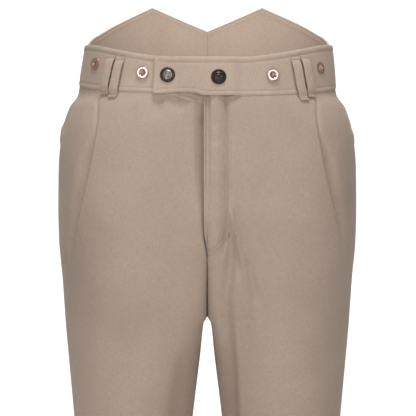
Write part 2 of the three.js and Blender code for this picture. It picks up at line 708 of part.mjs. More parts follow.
function studCap() {
  const profile = [
    [0, 0],
    [STUD.radius - STUD.edge, 0],
    [STUD.radius, STUD.edge],
    [STUD.radius, STUD.rimHeight - STUD.edge],
    [STUD.radius - STUD.edge, STUD.rimHeight],
    [STUD.rimInner, STUD.rimHeight],
    [STUD.rimInner - STUD.groove, STUD.rimHeight - STUD.groove],
    [STUD.rimInner - 2 * STUD.groove, STUD.rimHeight + STUD.groove],
    [STUD.rimInner * 0.45, STUD.height - 0.25],
    [0, STUD.height],
  ];
  return geometryOf(solidOf(turned(profile, STUD_SIDES)));
}

// Turns a piece that faces +Z so that it faces out of the band at a share and level, standing off its outer face.
function setOnBand(mesh, half, share, z, offset) {
  const facing = outward(form, half, share, z);
  mesh.position.copy(bandPoint(half, share, z, offset));
  mesh.quaternion.setFromUnitVectors(new THREE.Vector3(0, 0, 1), facing);
}

function pearlMaterial() {
  return new THREE.MeshStandardMaterial({ color: BUTTON_PEARL, roughness: 0.25, metalness: 0 });
}

function metalMaterial() {
  return new THREE.MeshStandardMaterial({ color: STUD_METAL, roughness: 0.3, metalness: 0.9 });
}

const BUTTON_STAND = 0.5;
const BUTTON_PLACES = [
  { name: "button_front_right", half: RIGHT, share: 0.641, z: -1.6 },
  { name: "button_front_left", half: LEFT, share: 0.637, z: -4.5 },
  { name: "button_side_right", half: RIGHT, share: 0.304, z: 11 },
  { name: "button_side_left", half: LEFT, share: 0.304, z: 6 },
  { name: "button_back_right", half: RIGHT, share: -FISHTAIL.peak, z: 76 },
  { name: "button_back_left", half: LEFT, share: -FISHTAIL.peak, z: 76 },
];

for (const place of BUTTON_PLACES) {
  const button = add(place.name, braceButton(), pearlMaterial());
  setOnBand(button, place.half, place.share, place.z, BAND_PROUD + BUTTON_STAND);
}

const STUD_STAND = 0.45;
const STUD_PLACES = [
  { name: "stud_tab", distance: -47, z: -5.2 },
  { name: "stud_centre", distance: 13.5, z: -7.7 },
];

for (const place of STUD_PLACES) {
  const stud = add(place.name, studCap(), metalMaterial());
  const offset = BAND_PROUD + BAND_CLOTH + TAB.clearance + STUD_STAND;
  setOnBand(stud, LEFT, centreShare(place.distance), place.z, offset);
}

export default breeches;
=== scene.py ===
import math
import bpy
import bmesh
import numpy as np
from mathutils import Matrix, Vector


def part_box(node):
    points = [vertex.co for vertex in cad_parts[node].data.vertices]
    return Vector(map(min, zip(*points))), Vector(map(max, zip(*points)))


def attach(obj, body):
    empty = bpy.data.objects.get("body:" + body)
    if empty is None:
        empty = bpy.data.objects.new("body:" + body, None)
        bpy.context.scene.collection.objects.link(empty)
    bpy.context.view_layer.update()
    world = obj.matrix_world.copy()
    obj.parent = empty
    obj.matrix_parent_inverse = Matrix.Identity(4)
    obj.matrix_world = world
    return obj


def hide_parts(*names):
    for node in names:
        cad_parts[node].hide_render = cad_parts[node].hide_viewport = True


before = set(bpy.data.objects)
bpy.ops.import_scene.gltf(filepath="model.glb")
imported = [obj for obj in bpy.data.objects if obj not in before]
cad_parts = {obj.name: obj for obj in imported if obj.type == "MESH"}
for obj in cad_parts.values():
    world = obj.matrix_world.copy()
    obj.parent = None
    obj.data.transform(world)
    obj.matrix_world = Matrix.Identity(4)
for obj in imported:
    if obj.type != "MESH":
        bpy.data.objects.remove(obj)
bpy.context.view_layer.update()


def set_values(node, values):
    for name, value in values.items():
        node.inputs[name].default_value = value


def add(name, data):
    thing = bpy.data.objects.new(name, data)
    bpy.context.collection.objects.link(thing)
    return thing


# The studio. The camera stands level with the fly, three metres in front, and two large softboxes stand to the
# left and right of it. The floor runs up into a pale backdrop well behind the breeches.
camera = add("camera", bpy.data.cameras.new("camera"))
camera.location = (0.0009, -3.0, -0.165)
camera.rotation_euler = (math.radians(90), 0, 0)
camera.data.lens = 207.7
camera.data.sensor_width = 36
bpy.context.scene.camera = camera

for name, place, target, size, watts in [
    ("softbox_left", (-1.0, -2.45, -0.05), (0, 0, -0.25), (1.5, 2.0), 20),
    ("softbox_right", (1.0, -2.45, -0.05), (0, 0, -0.25), (1.5, 2.0), 14.4),
    ("glint_left", (-1.73, -2.2, 0.6), (0, 0, 0), (0.62, 0.62), 9),
    ("glint_right", (1.8, -2.2, 0.64), (0, 0, 0), (0.62, 0.62), 9),
    ("overhead", (0.0, -0.44, 1.25), (0, 0.1, 0.03), (0.6, 0.3), 16),
    ("backdrop_light", (0.0, 1.3, 2.6), (0, 3.7, 0.0), (2.6, 0.8), 130),
]:
    light = add(name, bpy.data.lights.new(name, "AREA"))
    light.data.shape = "RECTANGLE"
    light.data.size, light.data.size_y = size
    light.data.energy = watts
    light.location = place
    light.rotation_euler = (Vector(target) - Vector(place)).to_track_quat("-Z", "Y").to_euler()

world = bpy.data.worlds.new("studio air")
world.use_nodes = True
set_values(world.node_tree.nodes["Background"], {"Color": (1.0, 1.0, 0.99, 1), "Strength": 0.06})
bpy.context.scene.world = world
bpy.context.scene.view_settings.view_transform = "Standard"

bpy.ops.mesh.primitive_grid_add(x_subdivisions=40, y_subdivisions=60, size=1)
floor = bpy.context.object
floor.name = "floor"
FLOOR_Z, PAPER_FRONT, PAPER_WIDTH, PAPER_LENGTH = -0.887, -3.6, 9, 9.5
BEND_FROM, BEND_TO, BEND_RADIUS, WALL_STRETCH = 6.2, 8.0, 1.15, 2.2
NARROW_FROM, NARROW_OVER, NARROWED_BY = 5.0, 1.4, 0.68
for vertex in floor.data.vertices:
    along = (vertex.co.y + 0.5) * PAPER_LENGTH
    bend = min(max((along - BEND_FROM) / (BEND_TO - BEND_FROM), 0.0), 1.0) * math.pi / 2
    y = PAPER_FRONT + min(along, BEND_FROM) + BEND_RADIUS * math.sin(bend)
    z = FLOOR_Z + BEND_RADIUS * (1 - math.cos(bend)) + max(along - BEND_TO, 0.0) * WALL_STRETCH
    narrowing = 1 - NARROWED_BY * min(max((along - NARROW_FROM) / NARROW_OVER, 0.0), 1.0)
    vertex.co = (vertex.co.x * PAPER_WIDTH * narrowing, y, z)


def new_material(name):
    material = bpy.data.materials.new(name)
    material.use_nodes = True
    nodes = material.node_tree.nodes
    return material, nodes, material.node_tree.links, nodes["Principled BSDF"]


paper, _, _, shader = new_material("pale paper")
set_values(shader, {"Base Color": (0.93, 0.93, 0.92, 1), "Roughness": 0.95})
floor.data.materials.append(paper)
bpy.ops.object.shade_smooth()

# The cloth: tan brushed cotton twill. Fine diagonal ribs and single darker or lighter yarns follow the cut, each
# panel's UV map being its cloth in metres, and the brushed nap gives a soft sheen at the edges of the form.
def noise(nodes, links, source, **values):
    node = nodes.new("ShaderNodeTexNoise")
    links.new(source, node.inputs["Vector"])
    set_values(node, values)
    return node.outputs["Fac"]


def ramp(nodes, links, source, low, high, low_at=0.3, high_at=0.7):
    node = nodes.new("ShaderNodeValToRGB")
    first, last = node.color_ramp.elements
    first.position, last.position = low_at, high_at
    first.color, last.color = (*low, 1), (*high, 1)
    links.new(source, node.inputs["Fac"])
    return node.outputs["Color"]


def tan_twill(name, tint, wear):
    material, nodes, links, shader = new_material(name)
    uv = nodes.new("ShaderNodeUVMap")
    uv.uv_map = "UVMap"
    place = nodes.new("ShaderNodeTexCoord")

    def mapped(key, value):
        node = nodes.new("ShaderNodeMapping")
        node.inputs[key].default_value = value
        links.new(uv.outputs["UV"], node.inputs["Vector"])
        return node.outputs["Vector"]

    ribs = nodes.new("ShaderNodeTexWave")
    ribs.wave_type, ribs.bands_direction, ribs.wave_profile = "BANDS", "X", "SIN"
    links.new(mapped("Rotation", (0, 0, math.radians(58))), ribs.inputs["Vector"])
    set_values(ribs, {"Scale": 330.0, "Distortion": 0.6, "Detail": 1.0, "Detail Scale": 2.0})
    warp = noise(nodes, links, mapped("Scale", (2400, 130, 1)), Scale=1.0, Detail=2.0)
    weft = noise(nodes, links, mapped("Scale", (130, 2400, 1)), Scale=1.0, Detail=2.0)
    cloud = noise(nodes, links, place.outputs["Object"], Scale=9.0, Detail=4.0, Roughness=0.55)
    nap = noise(nodes, links, uv.outputs["UV"], Scale=420.0, Detail=3.0, Roughness=0.7)

    dark, light = [c * 0.93 for c in tint], [min(c * 1.07, 1) for c in tint]
    colour = ramp(nodes, links, cloud, dark, light, 0.32, 0.68)
    for amount, source, low, high, ends in (
        (0.6, warp, (0.82, 0.81, 0.8), 1.1, (0.3, 0.7)),
        (0.5, weft, (0.84, 0.83, 0.82), 1.1, (0.3, 0.7)),
        (0.35, ribs.outputs["Fac"], (0.8, 0.79, 0.78), 1.08, (0.1, 0.9)),
        (wear, nap, (0.86, 0.85, 0.85), 1.1, (0.3, 0.7)),
    ):
        yarns = nodes.new("ShaderNodeMix")
        yarns.data_type, yarns.blend_type = "RGBA", "MULTIPLY"
        yarns.inputs["Factor"].default_value = amount
        links.new(colour, yarns.inputs["A"])
        links.new(ramp(nodes, links, source, low, (high,) * 3, *ends), yarns.inputs["B"])
        colour = yarns.outputs["Result"]
    links.new(colour, shader.inputs["Base Color"])

    height = nodes.new("ShaderNodeMath")
    height.operation = "MULTIPLY_ADD"
    links.new(nap, height.inputs[0])
    height.inputs[1].default_value = 0.5
    links.new(ribs.outputs["Fac"], height.inputs[2])
    bump = nodes.new("ShaderNodeBump")
    set_values(bump, {"Strength": 0.35, "Distance": 0.00025})
    links.new(height.outputs["Value"], bump.inputs["Height"])
    links.new(bump.outputs["Normal"], shader.inputs["Normal"])
    set_values(shader, {"Roughness": 0.88, "Specular IOR Level": 0.25, "Sheen Weight": 0.18,
                        "Sheen Roughness": 0.5, "Sheen Tint": (0.95, 0.86, 0.78, 1)})
    return material


TAN = (0.442, 0.342, 0.275)
panel_twill = tan_twill("tan twill", TAN, 0.5)
band_twill = tan_twill("tan twill on the band", tuple(c * 1.09 for c in TAN), 0.4)


# The two front panels, waist seam to hem, cut from the twill. Each has one pleat, stitched down for its first
# few centimetres and open below. The wearer's left one laps over the right one down the fly. The form is worked
# out from the levels of the body and leg in mm, one row each: outseam, inseam, front-most and back-most.
LEFT, RIGHT = 1, -1
SIDES = ((LEFT, "left"), (RIGHT, "right"))
CLOTH = 1.4
COLUMNS = ("z", "side", "seam_y", "inner", "inner_y", "front", "crease", "back", "seat", "box", "in_box")
LEVELS = np.array([
    (-885, 142, 10, 42, 11, -44, 92, 65, 92, 2, 2),
    (-800, 146, 12, 38, 13, -47, 92, 72, 92, 2, 2),
    (-700, 151, 12, 34, 14, -56, 93, 79, 93, 2, 2),
    (-600, 153.5, 5, 33, 7, -68, 93, 74, 93, 2, 2),
    (-510, 158, 3, 27, 8, -79, 93, 84, 93, 2.05, 2.1),
    (-424, 166.2, 3, 18, 10, -93, 92, 99, 92, 2.1, 2.3),
    (-340, 174, 4, 8, 12, -106, 90, 110, 90, 2.1, 3.2),
    (-320, 175.9, 4.5, 6.2, 12, -109, 89, 113.5, 89, 2.1, 3.8),
    (-305, 177.1, 4.8, 4.2, 12, -111, 88.4, 115.8, 88.4, 2.1, 4.1),
    (-298, 177.6, 5, 0.4, 12, -112, 88, 117, 88, 2.1, 4.2),
    (-250, 181, 6, 0, 10, -118, 82, 130, 82, 2.15, 3.7),
    (-205, 185.2, 6, 0, 6, -122, 72, 141, 76, 2.2, 2.8),
    (-165, 186.2, 6, 0, 0, -124, 62, 144, 70, 2.25, 2.2),
    (-115, 185.6, 4, 0, 0, -123, 48, 138, 60, 2.3, 2),
    (-70, 181.2, 2, 0, 0, -120, 30, 127, 40, 2.3, 2),
    (-40, 172, 1, 0, 0, -117, 12, 119, 18, 2.25, 2),
    (-24, 161.2, 0, 0, 0, -115, 4, 115, 8, 2.2, 2),
    (0, 157.8, 0, 0, 0, -113, 0, 111, 0, 2.2, 2),
    (40, 152.2, 0, 0, 0, -110, 0, 109, 0, 2.2, 2),
    (110, 150, 0, 0, 0, -107, 0, 108, 0, 2.2, 2),
])
CROTCH_Z, CROTCH_Y = -298.0, 12.0
FRONT_SEAM_Z, SIDE_SEAM_Z, BACK_SEAM_Z, FRONT_Y = -30.5, -14.3, 1.5, -115
RISE = {True: (-165.0, 0.9), False: (-110.0, 0.85)}
KNEE_SHARE = 0.7
TUCK_LEVELS = (-365, -345, -322, -298, -285, -270, -255, -240)
TUCK = {
    True: (0, 0.08, 0.28, 0.55, 0.66, 0.74, 0.795, 0.842),
    False: (0, 0.05, 0.18, 0.4, 0.51, 0.61, 0.69, 0.7585),
}
TURN = np.linspace(0, math.pi / 2, 37)
SEAM_SLOPE = math.tan(math.radians(8))
PLEAT_LINE = np.array([
    (-230, 0.322), (-192, 0.359), (-163, 0.395), (-131, 0.43),
    (-106, 0.446), (-73, 0.4515), (-54, 0.441), (-33, 0.402),
])
PLEAT_COLUMN = 0.38
FLY_REACH, FLY_TURN_Z, FLY_TURN_DROP, FLY_ROW_GAP = 27.2, -186, 36, 4.2


def smooth(t):
    t = np.clip(t, 0, 1)
    return t * t * (3 - 2 * t)


def through(levels, values, z):
    """A smooth curve through values at rising levels, without overshoot."""
    levels, values = np.asarray(levels, float), np.asarray(values, float)
    slope = np.diff(values) / np.diff(levels)
    tangent = np.concatenate([slope[:1], np.zeros(len(values) - 2), slope[-1:]])
    product, total = slope[:-1] * slope[1:], slope[:-1] + slope[1:]
    tangent[1:-1] = np.where(product > 0, 2 * product / np.where(product > 0, total, 1), 0)
    z = np.clip(z, levels[0], levels[-1])
    i = np.clip(np.searchsorted(levels, z), 1, len(levels) - 1)
    span = levels[i] - levels[i - 1]
    t = (z - levels[i - 1]) / span
    keep = 1 - t
    start = values[i - 1] * (1 + 2 * t) * keep * keep + tangent[i - 1] * span * t * keep * keep
    return start + values[i] * t * t * (3 - 2 * t) - tangent[i] * span * t * t * keep


def outline(z, is_front):
    """Each level's half outline from the outseam to the centre, the length along it, and what a share is in mm."""
    level = {name: through(LEVELS[:, 0], LEVELS[:, i], z) for i, name in enumerate(COLUMNS) if i}
    ridge_x, ridge_y = (level["crease"], level["front"]) if is_front else (level["seat"], level["back"])
    start, fullness = RISE[is_front]
    drop = np.clip((start - z) / (start - CROTCH_Z), 0, 1)
    rise_y = CROTCH_Y + (ridge_y - CROTCH_Y) * np.sqrt(1 - drop * drop) ** fullness
    above = z > CROTCH_Z
    inner_x, inner_y = np.where(above, 0, level["inner"]), np.where(above, rise_y, level["inner_y"])
    col = lambda value: np.asarray(value)[:, None]
    cos, sin = np.clip(np.cos(TURN), 0, 1), np.clip(np.sin(TURN), 0, 1)
    power, in_power = 2 / col(level["box"]), 2 / col(level["in_box"])
    x = col(ridge_x) + col(level["side"] - ridge_x) * cos**power
    y = col(level["seam_y"]) + col(ridge_y - level["seam_y"]) * sin**power
    tucked = CROTCH_Y + (ridge_y - CROTCH_Y) * through(TUCK_LEVELS, TUCK[is_front], z)
    soft_y = np.where(z > TUCK_LEVELS[-1], inner_y, tucked)
    narrow = 1 + 10 * (1 - smooth((CROTCH_Z - z) / 60))
    in_x = col(ridge_x) * (1 - sin[1:] ** in_power) + col(inner_x) * sin[1:] ** (in_power * col(narrow))
    bow = 1 - cos[1:] ** in_power
    late_bow = bow ** (9 + 13 * col(smooth((z + 290) / 28)))
    in_y = col(ridge_y) + col(soft_y - ridge_y) * bow + col(inner_y - soft_y) * late_bow
    x, y = np.hstack([x, in_x]), np.hstack([y, in_y])
    lengths = np.hstack([np.zeros((len(x), 1)), np.cumsum(np.hypot(np.diff(x), np.diff(y)), axis=1)])
    even = lengths[:, len(TURN) - 1] + ridge_x - inner_x
    return x, y, lengths, even, (lengths[:, -1] - KNEE_SHARE * even) / (1 - KNEE_SHARE)


def per_share(z, is_front):
    """Millimetres for a whole share before the knee of the outline, and past it."""
    z = np.atleast_1d(np.asarray(z, float))
    known, back = np.unique(np.round(z, 3), return_inverse=True)
    _, _, _, even, turned = outline(known, is_front)
    return even[back], turned[back]


def form(half, share, z):
    """The smooth worn form. Shares run from -1 (centre back) through 0 (outseam) to 1 (centre front)."""
    share, z, half = (a.astype(float).ravel() for a in np.broadcast_arrays(share, z, half))
    face, s = np.where(share < 0, -1.0, 1.0), np.abs(share)
    over = (s > 1) & (z >= CROTCH_Z)
    # Above the crotch a share past 1 laps over the other half. Below it, it runs on round the inseam.
    half, s = np.where(over, -half, half), np.where(over, 2 - s, s)
    round_leg = s > 1
    if round_leg.any():
        front_mm, back_mm = per_share(z, True)[1], per_share(z, False)[1]
        past = (s - 1) * np.where(face > 0, front_mm / back_mm, back_mm / front_mm)
        s, face = np.where(round_leg, 1 - past, s), np.where(round_leg, -face, face)
    out = np.empty((len(z), 3))
    for is_front in (True, False):
        these = np.flatnonzero((face > 0) == is_front)
        for chunk in np.array_split(these, max(1, len(these) // 20000)):
            if not len(chunk):
                continue
            x, y, lengths, even, turned = outline(z[chunk], is_front)
            before = np.minimum(s[chunk], KNEE_SHARE)
            length = before * even + (s[chunk] - before) * turned
            i = np.clip((lengths < length[:, None]).sum(1), 1, lengths.shape[1] - 1)[:, None]
            low, high = np.take_along_axis(lengths, i - 1, 1), np.take_along_axis(lengths, i, 1)
            t = np.where(high > low, (length[:, None] - low) / np.where(high > low, high - low, 1), 0)
            pick = lambda a: (np.take_along_axis(a, i - 1, 1) * (1 - t) + np.take_along_axis(a, i, 1) * t)[:, 0]
            x = pick(x)
            wider = 0.022 * (half[chunk] == LEFT) * smooth((z[chunk] + 25) / 62) * smooth((x - 70) / 50)
            x = x * (1 + wider)
            out[chunk] = np.stack([half[chunk] * x, pick(y), z[chunk]], 1)
    return out


def facing(half, share, z):
    """The directions out of the cloth, and along it away from the centre front."""
    share, z = (a.astype(float).ravel() for a in np.broadcast_arrays(share, z))
    step = 1.5 / np.where(share >= 0, per_share(z, True)[0], per_share(z, False)[0])
    along = form(half, share + step, z) - form(half, share - step, z)
    up = form(half, share, z + 0.5) - form(half, share, z - 0.5)
    out = np.cross(up, along) * half
    unit = lambda v: v / np.maximum(np.linalg.norm(v, axis=1, keepdims=True), 1e-9)
    return unit(out), unit(-along)


def band_bottom(half, share):
    """The waist seam. On the wearer's right it sits a little higher, and sags where it runs on under the tab."""
    share = np.asarray(share, float)
    y = form(half, share, SIDE_SEAM_Z)[:, 1].reshape(share.shape)
    level = FRONT_SEAM_Z + SEAM_SLOPE * (y - FRONT_Y)
    if half == RIGHT:
        sag = through([0.7, 0.8, 0.84, 0.88, 0.94, 1.0, 1.2], [0, 0.3, 2.0, 4.6, 7.6, 9.4, 10], share)
        level += 3.6 * smooth((0.9 - share) / 0.25) * smooth((share + 0.5) / 0.5) - sag
    return level


def pleat_share(z):
    return through(PLEAT_LINE[:, 0], PLEAT_LINE[:, 1], z)


# Soft folds of the worn cloth: half, start and end as share and level, width and depth in mm, inwards if negative.
FOLDS = [
    (LEFT, 0.08, -44, 0.1, -74, 9, -2.2), (RIGHT, 0.13, -32, 0.15, -76, 7, -3.0),
    (LEFT, 0.06, -62, 0.12, -90, 5, 1.6), (RIGHT, 0.05, -58, 0.11, -88, 5, 2.0),
    (RIGHT, 0.735, -24, 0.765, -58, 7, -3.2), (RIGHT, 0.8, -30, 0.9, -50, 9, -2.0),
    (LEFT, -0.86, -262, -0.3, -246, 12, -3.6), (RIGHT, -0.84, -266, -0.34, -240, 12, -3.4),
    (LEFT, -0.8, -318, -0.36, -288, 13, -3), (RIGHT, -0.78, -312, -0.4, -286, 12, -3.2),
    (LEFT, -0.86, -578, -0.22, -596, 9, -3), (RIGHT, -0.84, -584, -0.2, -604, 9, -3.2),
    (LEFT, -0.8, -622, -0.26, -610, 8, -2.4), (RIGHT, -0.82, -630, -0.24, -622, 8, -2.2),
]


# Creases near the fly: half, levels, how far out from the middle they are there, width and depth, all in mm.
CREASES = [
    (LEFT, (-345, -290, -245, -219, -193, -170, -152), (52, 50, 46.5, 40.2, 35.4, 28.6, 25), 3.6, 2.9),
    (LEFT, (-290, -226, -206, -171, -155), (62, 48.4, 43, 35.2, 32), 4.2, -3.4),
    (LEFT, (-450, -330, -275, -226, -197, -180), (31, 24.5, 21, 28.5, 27.4, 25), 7.0, -7.0),
    (LEFT, (-450, -330, -275, -235), (44, 37, 35.5, 37), 4.0, 1.8),
    (RIGHT, (-500, -400, -330), (44, 34, 26), 9.0, -2.6),
]


def soft_folds(half, share, z, even):
    depth = np.zeros_like(z)
    for side, s0, z0, s1, z1, width, deep in FOLDS:
        if side == half:
            across, down = (s1 - s0) * even, z1 - z0
            off_across, off_down = (share - s0) * even, z - z0
            size = np.hypot(across, down)
            along = (off_across * across + off_down * down) / size**2
            off = (off_across * down - off_down * across) / size
            ends = smooth(along / 0.3) * smooth((1 - along) / 0.3)
            depth += deep * ends * np.exp(-((off / width) ** 2)) * (share * s0 > 0)
    return depth


def crease_depth(half, share, z):
    depth, from_middle = np.zeros_like(z), half * form(half, share, z)[:, 0]
    for side, levels, places, width, deep in CREASES:
        if side == half:
            off = (from_middle - np.interp(z, levels, places)) / width
            ends = smooth((z - levels[0]) / 24) * smooth((levels[-1] - z) / 24)
            depth += deep * ends * np.exp(-(off**2))
    return depth


def pleat_fold(share, z, even, behind_pleat):
    """The valley beside the pleat's fold, and how far the cloth slides in under the fold."""
    opened, gone = smooth((-66 - z) / 50), 1 - smooth((-140 - z) / 122)
    distance = (pleat_share(z) - share) * even
    turned_in = distance / (3 + 6 * opened)
    valley = np.interp(turned_in, [0, 0.12, 1, 1.3, 2.4, 3.2], [0.25, 0.42, 0.95, 1, 0.2, 0])
    fold = (1.8 + 4.4 * opened) * valley * gone * behind_pleat * smooth((-22 - z) / 14)
    return fold, 2.0 * opened * gone * behind_pleat * np.exp(-((distance / 2.2) ** 2))


def fly_relief(half, before_centre, z):
    """The left front's flap, the dip beside its edge and its J of stitches, or the right front's hollow."""
    fade = smooth((z + 234) / 30)
    if half == RIGHT:
        width = through([-240, -220, -196, -169, -141, -115, -30], [4, 6, 9, 12, 15.5, 19.5, 20], z)
        dip = 0.43 * width * (0.4 + 0.6 * smooth((-38 - z) / 26))
        fall = np.interp(before_centre / width, [0.2, 0.42, 0.66, 0.8, 0.92, 1.05], [1, 0.82, 0.38, 0.13, 0.03, 0])
        return -dip * fade * fall
    flap = np.interp(before_centre, [-4, -2.8, -0.3, 1.2, 4.5, 8, 11, 14, 18, 22.4, 23.6, 25.4, 28, 36, 50],
                     [1.5, 1.5, 0.2, 0.6, 2.1, 3.1, 3.2, 2.6, 0.6, -2.1, -1.8, 0.7, 0.8, 0.5, 0])
    beside_edge = np.interp(before_centre, [-2.8, -0.4, 1.4, 4.5], [0, -1.9, -1.9, 0])
    uneven = 1 + 0.12 * np.sin(z / 4.3 + 1.3 * np.sin(z / 13))
    rounding = np.hypot(before_centre / FLY_REACH, np.minimum(z - FLY_TURN_Z, 0) / FLY_TURN_DROP)
    to_row = (1 - rounding) * FLY_REACH
    rows = 1.0 * np.exp(-((to_row / 1.3) ** 2)) + 0.8 * np.exp(-(((to_row - FLY_ROW_GAP) / 1.2) ** 2))
    return beside_edge * smooth((z + 150) / 55) + fade * flap * uneven - rows * smooth((before_centre - 1) / 3)


def drape(half, share, z, behind_pleat):
    """How far the cloth lies off the smooth form, and how far it slides along it under the pleat's fold."""
    front = share > 0
    even, turned = (np.where(front, a, b) for a, b in zip(per_share(z, True), per_share(z, False)))
    fold, slide = pleat_fold(share, z, even, behind_pleat)
    to_seam = np.where(np.abs(share) > 0.5, (1 - np.abs(share)) * turned, np.abs(share) * even)
    below_fly = (share > 0.5) & (z > -268)
    groove = np.where(below_fly, 0.25, 0.55) * np.exp(-((to_seam / np.where(below_fly, 0.7, 1.3)) ** 2))
    groove = np.where((share > 0.5) & (z > -222), 0, groove)
    on_front_only = crease_depth(half, share, z) + fly_relief(half, (1 - share) * turned, z) - fold
    depth = soft_folds(half, share, z, even) - groove + np.where(front, on_front_only, 0)
    return depth, np.where(front, slide, 0)


def lay(half, share, z, behind_pleat=0.0):
    """Points of the cloth's outer face, in mm."""
    share, z = (a.astype(float).ravel() for a in np.broadcast_arrays(share, z))
    out, away = facing(half, share, z)
    depth, slide = drape(half, share, z, behind_pleat)
    return form(half, share, z) + out * depth[:, None] - away * slide[:, None]


def cloth_grid(name, points, thickness, material, facing_material=None):
    """A grid of cloth from rows and columns of points in mm. Its UV map is the cloth laid flat, in metres."""
    rows, columns = points.shape[:2]
    bpy.ops.mesh.primitive_grid_add(x_subdivisions=columns - 1, y_subdivisions=rows - 1, size=1)
    cloth = bpy.context.object
    cloth.name = name
    mesh = cloth.data
    flat = points.reshape(-1, 3) * 0.001
    mesh.vertices.foreach_set("co", flat.ravel())
    steps = np.linalg.norm(np.diff(points, axis=1), axis=2)
    u = np.hstack([np.zeros((rows, 1)), np.cumsum(steps, axis=1)]) * 0.001
    falls = np.linalg.norm(np.diff(points, axis=0), axis=2)
    v = np.vstack([np.zeros((1, columns)), np.cumsum(falls, axis=0)]) * -0.001
    corner = np.empty(len(mesh.loops), np.int64)
    mesh.loops.foreach_get("vertex_index", corner)
    uv = np.stack([u.ravel(), v.ravel()], 1)[corner]
    mesh.uv_layers.active.name = "UVMap"
    mesh.uv_layers.active.data.foreach_set("uv", uv.ravel())
    mesh.update()
    middle = mesh.polygons[len(mesh.polygons) // 2]
    centre = Vector((math.copysign(0.05, middle.center.x), 0, middle.center.z))
    if middle.normal.dot(middle.center - centre) < 0:
        mesh.flip_normals()
    mesh.materials.append(material)
    wall = cloth.modifiers.new("wall", "SOLIDIFY")
    if facing_material:
        mesh.materials.append(facing_material)
        wall.material_offset = 1
    wall.thickness = thickness * 0.001
    wall.offset = -1
    wall.use_even_offset = False
    bpy.ops.object.modifier_apply(modifier="wall")
    bpy.ops.object.shade_smooth_by_angle(angle=math.radians(50))
    return cloth


def centre_levels(is_front, top, downs):
    """The levels on the centre line at these shares of the way from the waist seam to the crotch."""
    z = CROTCH_Z + (top - CROTCH_Z) * np.cos(np.linspace(0, math.pi / 2, 401))
    y = form(LEFT, 1 if is_front else -1, np.maximum(z, CROTCH_Z + 1e-6))[:, 1]
    lengths = np.concatenate([[0], np.cumsum(np.hypot(np.diff(y), np.diff(z)))])
    return np.interp(downs * lengths[-1], lengths, z)


BODY_DOWNS = np.concatenate([np.linspace(0, 0.44, 54), np.linspace(0.4465, 0.58, 38), np.linspace(0.5875, 1, 60)])
LEG_LEVELS = np.concatenate([np.linspace(-300.5, -345, 16), np.linspace(-348.5, -885, 150)])


def panel(name, half, is_front, share_at, behind=0.0):
    """A panel's grid: share_at(z) gives the columns' shares at the levels z."""
    sign = 1 if is_front else -1
    centre = centre_levels(is_front, FRONT_SEAM_Z if is_front else BACK_SEAM_Z, BODY_DOWNS)
    side = SIDE_SEAM_Z + (CROTCH_Z - SIDE_SEAM_Z) * BODY_DOWNS
    level = 0.5 * (centre + side)[:, None] + np.zeros((1, share_at(np.array([-100.0])).shape[1]))
    for _ in range(2):  # A column's level and its share depend on each other.
        shares = np.stack([share_at(level[:, c])[:, c] for c in range(level.shape[1])], 1)
        ease = smooth(shares)
        level = side[:, None] * (1 - ease) + centre[:, None] * ease
    seam = band_bottom(half, sign * shares[:1]).reshape(1, -1) + 1.0
    level = level + (seam - level[:1]) * (1 - BODY_DOWNS[:, None]) ** 4
    shares = np.stack([share_at(level[:, c])[:, c] for c in range(level.shape[1])], 1)
    leg = np.repeat(LEG_LEVELS[:, None], level.shape[1], 1)
    level, shares = np.vstack([level, leg]), np.vstack([shares, share_at(LEG_LEVELS)])
    shares = np.where(level < CROTCH_Z + 0.15, np.minimum(shares, 1), shares)
    folded = np.broadcast_to(behind, level.shape).ravel()
    points = lay(half, sign * shares.ravel(), level.ravel(), folded).reshape(*level.shape, 3)
    within = np.where(shares >= 1, 0, np.maximum(half * points[..., 0], 0))
    points[..., 0] = np.where((shares <= 1) & (level > CROTCH_Z), half * within, points[..., 0])
    return cloth_grid(name, points, CLOTH, panel_twill)


# A front panel's columns: their nominal shares, crowded by the outseam, pleat and fly, and the mm they are moved.
EVEN = [0, 0, 0, 0] + [0.0125 * i for i in range(2, 28)]
BEHIND = [-9, -7, -5.2, -3.9, -2.8, -1.9, -1.1, -0.5, 0]
BEFORE = [0, 0.5, 1.1, 1.9, 2.9, 4.2]
PAST = [0.405 + 0.0125 * i for i in range(24)]
nominal = np.array(EVEN + [PLEAT_COLUMN] * (len(BEHIND) + len(BEFORE)) + PAST + list(np.linspace(0.71, 1, 46)))
moved = np.array([0, 0.8, 1.7, 3.0] + [0] * (len(EVEN) - 4) + BEHIND + BEFORE + [0] * (len(PAST) + 46))
is_behind = np.array([1.0] * (len(EVEN) + len(BEHIND)) + [0.0] * (len(BEFORE) + len(PAST) + 46))


def front_shares(half):
    lap = 4 if half == LEFT else 20

    def share_at(z):
        even, turned = (a[:, None] for a in per_share(z, True))
        pleat = pleat_share(z)[:, None]
        beyond = 1 - (1 - nominal) * (1 - pleat) / (1 - PLEAT_COLUMN)
        share = np.where(nominal < PLEAT_COLUMN, nominal * pleat / PLEAT_COLUMN, beyond) + moved / even
        from_centre = np.interp(nominal, [0.71, 0.76, 0.79, 0.83, 0.86, 0.94, 1], [62, 40, 29.5, 24.5, 20.5, 6, 0])
        fade = smooth((z + 218) / 18)[:, None]
        from_centre = from_centre - lap * fade * smooth((9 - from_centre) / 9)
        by_centre = 1 - from_centre / turned
        free = smooth((-200 - z) / 70)[:, None]
        near = smooth((nominal - 0.71) / 0.05)
        return share + (by_centre - share) * (1 - free) * near

    return share_at


for half, side in SIDES:
    piece = panel(f"front_panel_{side}", half, True, front_shares(half), is_behind)
    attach(piece, "root")
    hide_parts(f"front_{side}")


